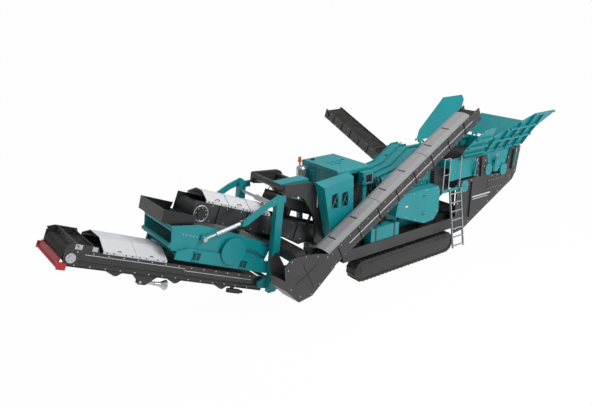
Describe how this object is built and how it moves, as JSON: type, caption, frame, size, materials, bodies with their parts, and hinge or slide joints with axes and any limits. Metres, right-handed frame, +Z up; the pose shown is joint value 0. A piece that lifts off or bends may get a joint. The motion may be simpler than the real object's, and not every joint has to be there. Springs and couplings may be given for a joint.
{
  "type": "tracked mobile impact crusher",
  "caption": "Crawler-mounted impact crusher with a flared feed hopper, hanging screen, long discharge conveyor, side return conveyor and a folding side conveyor.",
  "frame": {"origin": "middle of the whole machine's footprint, on the ground", "axes": "+X towards the feed hopper, +Y towards the side conveyor's side, +Z up"},
  "size_m": [16.6782, 6.5212, 4.8577],
  "materials": {
    "teal_paint": "semi-gloss teal paint",
    "charcoal_paint": "satin charcoal paint",
    "track_steel": "worn dark steel",
    "belt_rubber": "matt black rubber",
    "white_cover": "satin off-white paint",
    "grey_cover": "satin mid-grey paint",
    "engine_metal": "dark grey casting",
    "rotor_metal": "bare cast steel",
    "red_paint": "red paint",
    "orange_lens": "orange lens",
    "bright_steel": "galvanised or plated steel",
    "black_steel": "black paint"
  },
  "bodies": {
    "chassis": {"air_cleaner": "bright_steel", "arch_frame": "charcoal_paint", "beacon": "orange_lens", "bypass_stand": "teal_paint", "chassis_frame": "charcoal_paint", "control_cabinet": "teal_paint", "cross_cylinder": "bright_steel", "crusher_housing": "teal_paint", "crusher_rotor": "rotor_metal", "drive_guard": "teal_paint", "end_wheels_left": "charcoal_paint", "end_wheels_right": "charcoal_paint", "engine_block": "engine_metal", "feed_box": "charcoal_paint", "feeder_springs": "black_steel", "fuel_tank": "teal_paint", "grizzly_feeder": "charcoal_paint", "hopper_body": "teal_paint", "hopper_panel": "teal_paint", "ladder": "bright_steel", "magnet": "charcoal_paint", "magnet_belt": "belt_rubber", "post_frame": "teal_paint", "power_canopy": "teal_paint", "product_belt": "belt_rubber", "product_covers": "white_cover", "product_frame": "charcoal_paint", "screen_box": "teal_paint", "screen_rams": "bright_steel", "screen_subframe": "teal_paint", "service_platform": "teal_paint", "side_shroud": "teal_paint", "track_frame_left": "charcoal_paint", "track_frame_right": "charcoal_paint", "track_left": "track_steel", "track_right": "track_steel", "transfer_belt": "belt_rubber", "transfer_frame": "charcoal_paint", "unit_deck": "teal_paint"},
    "hopper_wall_left": {"hopper_wall_left": "teal_paint"},
    "hopper_wall_right": {"hopper_wall_right": "teal_paint"},
    "hopper_end_wall": {"hopper_end_wall": "teal_paint"},
    "crusher_hood": {"crusher_hood": "teal_paint"},
    "canopy_door": {"canopy_door": "teal_paint"},
    "cabinet_door": {"cabinet_door": "teal_paint"},
    "return_conveyor": {"return_frame": "charcoal_paint", "return_belt": "belt_rubber", "return_covers": "grey_cover", "tail_box": "charcoal_paint", "return_pivot": "charcoal_paint"},
    "side_conveyor": {"bypass_frame": "charcoal_paint", "bypass_belt": "belt_rubber"},
    "fines_conveyor": {"fines_frame": "charcoal_paint", "fines_belt": "belt_rubber", "fines_covers": "white_cover", "fines_head": "charcoal_paint", "belt_scraper": "red_paint", "lamp_bar": "black_steel"},
    "jack_legs": {"jack_legs": "bright_steel"}
  },
  "joints": [
    {"name": "hopper_wall_left_fold", "type": "hinge", "parent": "chassis", "child": "hopper_wall_left", "pos_m": [6.36292, 0.13752, 3.2], "axis": [1, 0, 0], "range_deg": [0, 75]},
    {"name": "hopper_wall_right_fold", "type": "hinge", "parent": "chassis", "child": "hopper_wall_right", "pos_m": [6.36292, -2.26248, 3.2], "axis": [1, 0, 0], "range_deg": [-75, 0]},
    {"name": "hopper_end_wall_fold", "type": "hinge", "parent": "chassis", "child": "hopper_end_wall", "pos_m": [7.76292, -1.06248, 3.2], "axis": [0, 1, 0], "range_deg": [-115, 0]},
    {"name": "crusher_hood_open", "type": "hinge", "parent": "chassis", "child": "crusher_hood", "pos_m": [1.46292, -1.06248, 2.5], "axis": [0, 1, 0], "range_deg": [-38, 0]},
    {"name": "canopy_door_open", "type": "hinge", "parent": "chassis", "child": "canopy_door", "pos_m": [-0.24708, -0.09048, 3], "axis": [0, 0, 1], "range_deg": [0, 100]},
    {"name": "cabinet_door_open", "type": "hinge", "parent": "chassis", "child": "cabinet_door", "pos_m": [0.39692, -2.08448, 3.16], "axis": [0, 0, 1], "range_deg": [-95, 0]},
    {"name": "return_conveyor_slew", "type": "hinge", "parent": "chassis", "child": "return_conveyor", "pos_m": [-2.95708, -2.48247, 0.96], "axis": [0, 0, 1], "range_deg": [-80, 0]},
    {"name": "side_conveyor_fold", "type": "hinge", "parent": "chassis", "child": "side_conveyor", "pos_m": [3.61292, 0.38752, 2.85], "axis": [1, 0, 0], "range_deg": [0, 65]},
    {"name": "fines_conveyor_lower", "type": "hinge", "parent": "chassis", "child": "fines_conveyor", "pos_m": [-3.1473, -1.06248, 0.76554], "axis": [0, 1, 0], "range_deg": [-12, 0]},
    {"name": "jack_legs_fold", "type": "hinge", "parent": "fines_conveyor", "child": "jack_legs", "pos_m": [-6.45708, -1.06248, 1.76], "axis": [0, 1, 0], "range_deg": [0, 65]}
  ]
}
